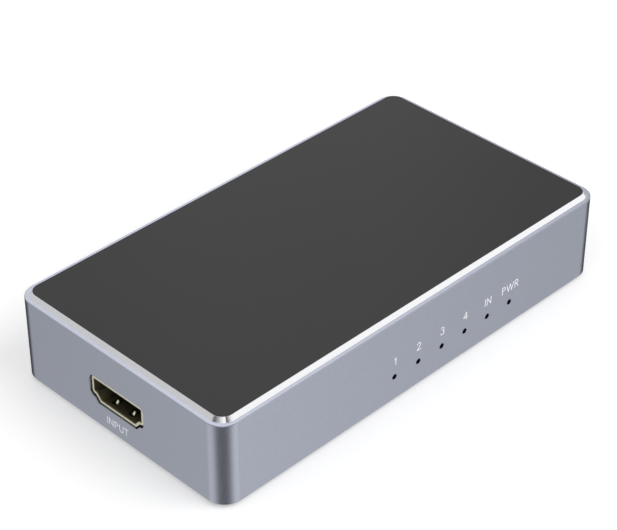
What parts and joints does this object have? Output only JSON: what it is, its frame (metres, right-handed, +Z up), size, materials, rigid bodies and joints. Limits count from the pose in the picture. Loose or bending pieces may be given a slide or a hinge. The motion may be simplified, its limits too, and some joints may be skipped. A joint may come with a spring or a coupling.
{
  "type": "hdmi splitter",
  "caption": "Flat metal-cased video splitter: glossy top panel, input socket at one end, outputs and power jack at the back, indicator lamps in front.",
  "frame": {"origin": "on the table under the middle of the case", "axes": "+X along the case away from the input socket, +Y towards the outputs, +Z up"},
  "size_m": [0.112, 0.061, 0.0216],
  "materials": {
    "anodised_aluminium": "satin",
    "black_acrylic": "gloss",
    "adhesive_film": "matte",
    "black_abs": "matte",
    "rubber": "matte",
    "zinc_plated_steel": "satin",
    "circuit_board": "satin",
    "plated_brass_sheet": "satin",
    "black_nylon": "matte",
    "gold_plated_contacts": "polished",
    "nickel_plated_brass": "polished",
    "lamp_resin": "satin",
    "black_silicone": "matte",
    "chip_epoxy": "matte",
    "pad_silicone": "matte",
    "black_anodised_aluminium": "satin",
    "ferrite": "matte",
    "can_aluminium": "satin",
    "crystal_metal": "satin",
    "barium_ceramic": "matte"
  },
  "bodies": {
    "root": {"housing_frame": "anodised_aluminium", "top_panel": "black_acrylic", "panel_adhesive": "adhesive_film", "bottom_cover": "black_abs", "cover_screws": "zinc_plated_steel", "main_board": "circuit_board", "jack_body": "black_nylon", "jack_pin": "nickel_plated_brass", "jack_spring": "nickel_plated_brass", "light_guard": "black_silicone", "splitter_chip": "chip_epoxy", "thermal_pad": "pad_silicone", "heat_sink": "black_anodised_aluminium", "control_chip": "chip_epoxy", "memory_chip": "chip_epoxy", "regulator_chip": "chip_epoxy", "power_coil": "ferrite", "input_capacitor": "can_aluminium", "output_capacitor": "chip_epoxy", "crystal_can": "crystal_metal", "surge_arrays": "chip_epoxy", "small_capacitors": "barium_ceramic", "small_resistors": "barium_ceramic", "foot_front_left": "rubber", "foot_front_right": "rubber", "foot_back_left": "rubber", "foot_back_right": "rubber", "lamp_output_1": "lamp_resin", "lamp_output_2": "lamp_resin", "lamp_output_3": "lamp_resin", "lamp_output_4": "lamp_resin", "lamp_input": "lamp_resin", "lamp_power": "lamp_resin", "input_shell": "plated_brass_sheet", "input_core": "black_nylon", "input_contacts": "gold_plated_contacts", "output_1_shell": "plated_brass_sheet", "output_1_core": "black_nylon", "output_1_contacts": "gold_plated_contacts", "output_2_shell": "plated_brass_sheet", "output_2_core": "black_nylon", "output_2_contacts": "gold_plated_contacts", "output_3_shell": "plated_brass_sheet", "output_3_core": "black_nylon", "output_3_contacts": "gold_plated_contacts", "output_4_shell": "plated_brass_sheet", "output_4_core": "black_nylon", "output_4_contacts": "gold_plated_contacts"}
  },
  "joints": []
}
